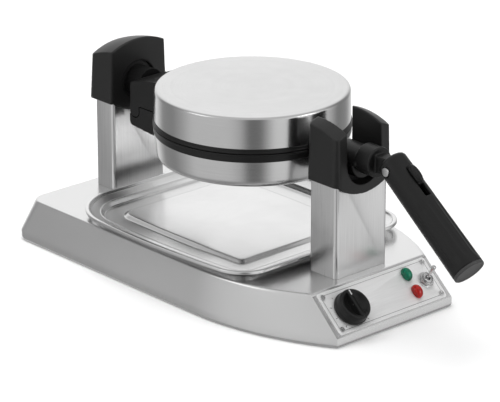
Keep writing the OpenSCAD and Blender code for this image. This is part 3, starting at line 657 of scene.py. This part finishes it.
def peg(work, x, y, tip, floor, side, place):
    """Waffle peg with drafted sides and rounded corners, merged into the mesh being built."""
    rings = []
    for z, w, r in ((floor + 0.5 * MM, side * 1.16, 2.4 * MM), (floor - 0.8 * MM, side * 1.04, 2.0 * MM),
                    (tip + 1.6 * MM, side * 0.86, 1.8 * MM), (tip + 0.5 * MM, side * 0.80, 1.8 * MM),
                    (tip, side * 0.70, 1.6 * MM)):
        ring = []
        for quarter in range(4):
            for i in range(5):
                a = math.radians(90 * quarter + 90 * i / 4)
                cx = (w / 2 - r) * (1 if quarter in (0, 3) else -1)
                cy = (w / 2 - r) * (1 if quarter in (0, 1) else -1)
                ring.append(work.verts.new(place @ Vector((x + cx + r * math.cos(a),
                                                           y + cy + r * math.sin(a), z))))
        rings.append(ring)
    for a, b in zip(rings, rings[1:]):
        for i in range(len(a)):
            j = (i + 1) % len(a)
            work.faces.new((a[i], a[j], b[j], b[i]))
    work.faces.new(rings[-1])
    work.faces.new(rings[0])


def make_grid(half, sign, pitch=22 * MM, side=13 * MM):
    """Cast waffle plate: rim, pan and drafted pegs in four quarters."""
    place = half_place(sign)
    rim_r, pan_r, floor, back = GRID_R, 88 * MM, 12 * MM, 16 * MM
    peg_reach, tip = 79 * MM, 3 * MM
    outline = [(0, floor), (pan_r - 1.5 * MM, floor, 2 * MM), (pan_r, 0.4 * MM, 0.8 * MM),
               (rim_r, 0.4 * MM, 0.6 * MM), (rim_r, back, 0.6 * MM), (0, back)]
    plate = revolve(f"{half}_plate", fillet(outline, 0.5 * MM, 5), place, f"head_{half}",
                    "grid_coating", f"{half}_grid", steps=144, sharp=40)
    work = bmesh.new()
    work.from_mesh(plate.data)
    spots = [(i + 0.5) * pitch for i in range(-4, 4)]
    for x in spots:
        for y in spots:
            if math.hypot(x, y) < peg_reach:
                peg(work, x, y, tip, floor, side, place)
    bmesh.ops.recalc_face_normals(work, faces=work.faces)
    work.to_mesh(plate.data)
    work.free()
    plate.data.shade_smooth()
    plate.data.set_sharp_from_angle(angle=math.radians(40))


# ------------------------------------------------------------------ posts, caps and hinge

def make_post(node):
    """Folded steel tube with softly rounded corners, notched at the top round the shaft."""
    bevelled(node, "base", "post_steel", 0.35 * MM, segments=2, sharp=35)


def drafted(node, growth=2.2 * MM):
    """Lets a cap's outer walls spread from the crown to the foot; the wall by the head stays."""
    low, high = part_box(node)
    skin = 1.6 * MM
    outer_y = high.y if low.y > HEAD_Y else low.y

    def shape(point):
        spread = growth * min(1.0, max(0.0, (high.z - 8 * MM - point.z) / (60 * MM)))
        moved = point.copy()
        if abs(point.x) > high.x - skin:
            moved.x += math.copysign(spread, point.x)
        if abs(point.y - outer_y) < skin:
            moved.y += math.copysign(spread, outer_y - HEAD_Y)
        return moved

    return shape


def make_mouldings():
    voxel = 0.0009
    for node in ("front_cap", "rear_cap"):
        moulded_copy(node, "base", "black_plastic", voxel, 4, "cap_plastic", drafted(node))
    moulded_copy("lower_hinge_block", "head_lower", "black_plastic", voxel, 5)
    moulded_copy("upper_hinge_block", "head_upper", "black_plastic", voxel, 5)
    moulded_copy("upper_arm", "head_upper", "black_plastic", voxel, 3)
    moulded_copy("lower_arm", "head_lower", "black_plastic", voxel, 3)


# ------------------------------------------------------------------ handle

def flute(point):
    """Presses shallow flutes into the grip, fading out at both ends."""
    place = handle_frame()
    local = place.inverted() @ point
    radius = math.hypot(local.x, local.y)
    if radius < GRIP_R or local.z < GRIP_START:
        return point
    run_out = 8 * MM
    fade = min(1.0, (local.z - GRIP_START) / run_out, (GRIP_END - local.z) / run_out)
    if fade <= 0:
        return point
    angle = math.atan2(local.y, local.x)
    depth = 0.55 * MM * max(0.0, math.cos(angle * 10)) ** 0.6 * fade
    scale = (radius - depth) / radius
    return place @ Vector((local.x * scale, local.y * scale, local.z))


def make_handle():
    moulded_copy("handle_shell", "handle", "black_plastic", 0.0008, 4, shape=flute)
    place = handle_frame()
    low, high = 127.9 * MM, 131 * MM
    plug_r, rim_r, foot = 11.8 * MM, 17.2 * MM, low - 8 * MM
    outline = [(0, foot, 0), (plug_r, foot), (plug_r, low, 0), (rim_r, low),
               (rim_r, high, 1.2 * MM), (14.2 * MM, high), (13.8 * MM, high - 0.4 * MM),
               (0, high - 0.4 * MM)]
    revolve("handle_end", fillet(outline, 0.4 * MM, 4), place, "handle", "end_grey",
            "handle_end_cap", steps=96)
    bevelled("pivot_screw", "handle", "screw_steel", 0.4 * MM)
    moulded_copy("slider_button", "slider", "black_plastic", 0.0005, 3)
    make_thumb_pad(place)


def make_thumb_pad(place):
    """Domed oval pad with cross ridges on the sliding button."""
    inward = place.inverted()
    points = [inward @ Vector(v.co) for v in frame["nodes"]["slider_button"].data.vertices]
    top = max(p.y for p in points)
    ends = [p.z for p in points if p.y > top - 1 * MM]
    middle_z, half_l = (min(ends) + max(ends)) / 2, (max(ends) - min(ends)) / 2
    half_w = max(abs(p.x) for p in points if p.y > top - 1 * MM) * 0.92
    rings = []
    dome = ((0.0, -0.8), (0.0, 0.6), (0.06, 1.5), (0.18, 2.2), (0.36, 2.7), (0.6, 3.0), (0.85, 3.1))
    for shrink, rise in dome:
        ring = []
        for i in range(96):
            a = 2 * math.pi * i / 96
            x, z = half_w * (1 - shrink) * math.cos(a), half_l * (1 - shrink) * math.sin(a)
            ridge = 0.25 * MM * math.cos(z / MM * 2.4) if rise > 2 else 0
            ring.append(place @ Vector((x, top + rise * MM + ridge, middle_z + z)))
        rings.append(ring)
    loft("thumb_pad", rings, "slider", "black_plastic", sharp=50)


# ------------------------------------------------------------------ controls

def make_knob():
    """Round black knob: skirt, drum with a bowl in its top, and a bar grip across the bowl."""
    place = panel_frame(KNOB)
    outline = [(3.1, 2.2, 0), (18.6, 2.2), (19.0, 3.2), (18.8, 5.6), (18.0, 6.4), (17.4, 14.0, 2.4),
               (14.4, 15.2, 1.6), (12.6, 12.4, 2.0), (8.0, 9.4, 3.0), (0, 9.0)]
    outline = fillet([(p[0] * MM, p[1] * MM, *[r * MM for r in p[2:]]) for p in outline], 0.6 * MM, 5)
    revolve("knob_drum", outline, place, "knob", "black_plastic", "browning_knob", steps=120)
    half_l = 16.6 * MM
    rings = []
    for z, half_w in ((8.6, 4.6), (11, 3.4), (13.6, 2.7), (15.2, 2.4), (16.0, 1.9), (16.4, 1.1)):
        ring = []
        for i in range(64):
            a = 2 * math.pi * i / 64
            y = math.sin(a) * (half_l - max(0, z - 14) * 0.5 * MM)
            flare = 1 + 0.55 * (y / half_l) ** 4
            x = math.copysign(abs(math.cos(a)) ** 0.4, math.cos(a)) * half_w * flare * MM
            drop = 1.2 * MM * (y / half_l) ** 4
            ring.append(place @ Vector((x, y, z * MM - drop)))
        rings.append(ring)
    loft("knob_grip", rings, "knob", "black_plastic", sharp=50)
    pointer = [(-0.45, 9.5), (0.45, 9.5), (0.45, 15.4), (-0.45, 15.4)]
    flat_strip("knob_pointer", place, pointer, 15.2, 16.5, "pointer_white", "knob", "black_plastic")


def flat_strip(name, place, outline, low, high, material, body="base", slot="panel_metal"):
    """Thin printed or raised mark: a closed outline between two heights."""
    rings = [[place @ Vector((x * MM, y * MM, z * MM)) for x, y in outline] for z in (low, high)]
    loft(name, rings, body, slot, material=material)


def make_panel():
    bevelled("panel_plate", "base", "panel_metal", 0.25 * MM)
    low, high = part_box("panel_plate")
    centre = (low + high) / 2
    place = panel_frame(centre)
    surface = 0.5
    half_w, half_h, line = 72.4, 20.8, 0.35
    for i, (x, y, w, h) in enumerate(((0, half_h, half_w, line), (0, -half_h, half_w, line),
                                      (half_w, 0, line, half_h), (-half_w, 0, line, half_h))):
        w, h = max(w, line), max(h, line)
        half = (w, line / 2) if h == line else (line / 2, h)
        box = [(x - half[0], y - half[1]), (x + half[0], y - half[1]),
               (x + half[0], y + half[1]), (x - half[0], y + half[1])]
        flat_strip(f"border_line_{i}", place, box, surface, surface + 0.06, "ink")
    dial = panel_frame(KNOB)
    for i in range(9):
        a = math.radians(-135 + 270 * i / 8)
        inner, outer, half = 20.2, 21.8 if i % 2 else 22.8, 0.3
        along, side = Vector((math.sin(a), math.cos(a))), Vector((math.cos(a), -math.sin(a)))
        quad = [along * inner - side * half, along * inner + side * half,
                along * outer + side * half, along * outer - side * half]
        if max(abs(p.y) for p in quad) < 20.5:
            flat_strip(f"dial_tick_{i}", dial, [tuple(p) for p in quad], 1.08, 1.16, "ink")


def make_controls():
    make_knob()
    make_panel()
    for colour in ("green", "red"):
        node = f"{colour}_lens"
        low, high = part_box(node)
        centre = (low + high) / 2
        place = panel_frame(centre) @ Matrix.Diagonal((0.8, 1.12, 1.15, 1))
        height = middle_height(node)
        outline = [(0, -height), (6.6, -height), (6.8, -height + 0.3), (6.8, -height + 1.6),
                   (6.4, -height + 3.2), (5.2, -height + 4.9), (3.0, -height + 5.9), (0, -height + 6.2)]
        outline = fillet([(r * MM, z * MM) for r, z in outline], 1.2 * MM, 5)
        revolve(f"{colour}_dome", outline, place, "base", node, node, steps=72, sharp=60)
    bevelled("panel_screws", "base", "screw_steel", 0.25 * MM)
    bevelled("switch_nut", "base", "chrome", 0.3 * MM)
    bevelled("switch_washer", "base", "chrome", 0.15 * MM)
    sleeve = panel_frame(Vector(joint("switch_tip")["pos_m"]) - PANEL_UP * 2 * MM)
    outline = [(2.9, 3.4), (6.0, 3.4), (6.0, 5.6), (5.2, 6.4), (3.3, 6.6), (2.9, 6.3), (2.9, 3.4)]
    revolve("switch_sleeve", [(r * MM, z * MM) for r, z in outline], sleeve, "base", "chrome", steps=48)
    make_lever()


def middle_height(node):
    """Half the height of a lens above the panel, in millimetres."""
    corners = [Vector(v.co).dot(PANEL_UP) for v in frame["nodes"][node].data.vertices]
    low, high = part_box(node)
    centre = ((low + high) / 2).dot(PANEL_UP)
    return (centre - min(corners)) / MM


def make_lever():
    """Bat-shaped toggle on a ball."""
    pivot = Vector(joint("switch_tip")["pos_m"])
    place = panel_frame(pivot) @ Matrix.Rotation(math.radians(-10), 4, "X")
    outline = [(0, -3), (2.2, -2.2), (3.0, 0), (2.2, 2.2), (1.5, 3.6), (1.6, 8), (2.1, 15),
               (2.5, 19.4), (2.3, 21.0), (1.2, 21.5), (0, 21.5)]
    outline = fillet([(r * MM, z * MM) for r, z in outline], 0.9 * MM, 4)
    revolve("toggle_bat", outline, place, "switch", "chrome", "switch_lever", steps=48, sharp=60)


# ------------------------------------------------------------------ the rest of the CAD nodes

def finish_cad_nodes():
    """Gives every CAD node its slot's material; those with a visual piece are hidden later."""
    slots = {s["node"]: s["material_slot"] for s in frame["record"]["subparts"]}
    for name, made in frame["nodes"].items():
        made.data.materials.clear()
        made.data.materials.append(materials[slots[name]])


make_camera()
make_world()
make_studio()
materials = make_materials()
finish_cad_nodes()
make_base()
make_tray()
make_shell("upper", 1, UPPER_DEPTH, UPPER_BAND_H, HEAD_R - 0.7 * MM, 4 * MM)
make_shell("lower", -1, LOWER_DEPTH, LOWER_BAND_H, HEAD_R - 2.2 * MM, 9 * MM)
make_band("upper", 1, UPPER_BAND_H)
make_band("lower", -1, LOWER_BAND_H)
make_grid("upper", 1)
make_grid("lower", -1)
make_post("front_post")
make_post("rear_post")
make_mouldings()
make_handle()
make_controls()

scene = bpy.context.scene
scene.view_settings.view_transform = "Standard"
